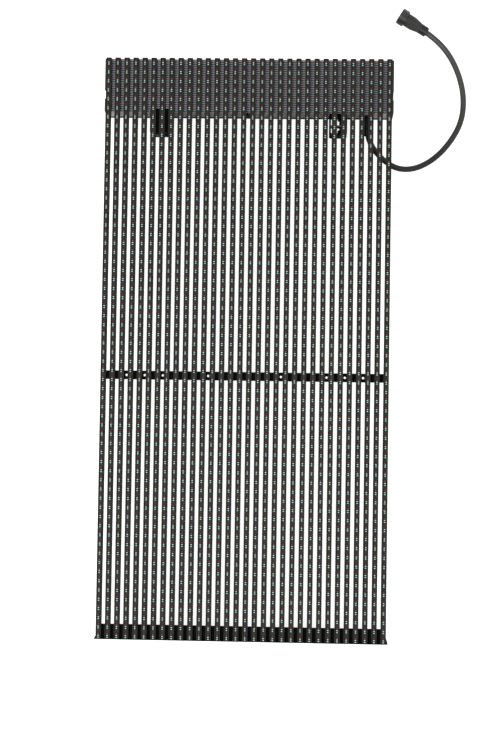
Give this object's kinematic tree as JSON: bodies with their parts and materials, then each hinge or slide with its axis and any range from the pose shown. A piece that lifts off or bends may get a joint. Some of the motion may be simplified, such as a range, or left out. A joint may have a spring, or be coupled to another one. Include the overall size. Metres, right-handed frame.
{
  "type": "mesh led screen",
  "caption": "See-through screen panel: upright lamp strips below a flat ribbed power box, tied by bars behind, with bracket sleeves and a plug lead.",
  "frame": {"origin": "middle of the footprint, on the floor under the panel that lies on its back", "axes": "+X across the strips to the right as seen from the lamp side, +Y along the strips towards the power box, +Z out of the lamp side"},
  "size_m": [0.6289, 1.1017, 0.0713],
  "materials": {
    "strip_plastic": "matt, moulded",
    "lamp_plastic": "matt potting with satin lamps",
    "board": "satin",
    "box_alloy": "satin, ribbed",
    "black_alloy": "satin, powder coated black",
    "bare_alloy": "satin",
    "black_steel": "satin black",
    "steel": "zinc plated",
    "jacket_rubber": "matt grey jacket",
    "seal_rubber": "matt",
    "black_plastic": "matt, moulded",
    "connector_plastic": "satin, moulded",
    "insert_plastic": "satin, moulded"
  },
  "bodies": {
    "panel": {"strip_housing_01": "strip_plastic", "strip_housing_02": "strip_plastic", "strip_housing_03": "strip_plastic", "strip_housing_04": "strip_plastic", "strip_housing_05": "strip_plastic", "strip_housing_06": "strip_plastic", "strip_housing_07": "strip_plastic", "strip_housing_08": "strip_plastic", "strip_housing_09": "strip_plastic", "strip_housing_10": "strip_plastic", "strip_housing_11": "strip_plastic", "strip_housing_12": "strip_plastic", "strip_housing_13": "strip_plastic", "strip_housing_14": "strip_plastic", "strip_housing_15": "strip_plastic", "strip_housing_16": "strip_plastic", "strip_housing_17": "strip_plastic", "strip_housing_18": "strip_plastic", "strip_housing_19": "strip_plastic", "strip_housing_20": "strip_plastic", "strip_housing_21": "strip_plastic", "strip_housing_22": "strip_plastic", "strip_housing_23": "strip_plastic", "strip_housing_24": "strip_plastic", "strip_housing_25": "strip_plastic", "strip_housing_26": "strip_plastic", "strip_housing_27": "strip_plastic", "strip_housing_28": "strip_plastic", "strip_housing_29": "strip_plastic", "strip_housing_30": "strip_plastic", "strip_housing_31": "strip_plastic", "strip_housing_32": "strip_plastic", "lamp_boards": "board", "lamp_rows": "lamp_plastic", "box_body": "box_alloy", "end_plate_left": "box_alloy", "end_plate_right": "box_alloy", "rear_cover": "black_alloy", "cover_gasket": "seal_rubber", "cover_screws": "steel", "end_plate_screws": "steel", "mid_bar": "black_alloy", "bottom_rail": "black_alloy", "hang_bar": "bare_alloy", "power_supply": "bare_alloy", "hub_board": "board", "receiving_card": "board", "bracket_left": "black_steel", "bracket_right": "black_steel", "clamp_plates": "steel", "clamp_studs": "steel", "clamp_nuts": "steel", "vent_plug": "black_plastic", "cable_gland": "black_plastic", "gland_nut": "black_plastic", "connector_body": "connector_plastic", "contact_insert": "insert_plastic", "tail_nut": "connector_plastic", "lead_cable": "jacket_rubber"},
    "coupling_nut": {"coupling_nut": "black_plastic"}
  },
  "joints": [
    {"name": "coupling_nut_spin", "type": "hinge", "parent": "panel", "child": "coupling_nut", "pos_m": [0.26625, 0.58639, 0.01473], "axis": [-0.851, 0.5113, 0.1196], "continuous": true}
  ]
}
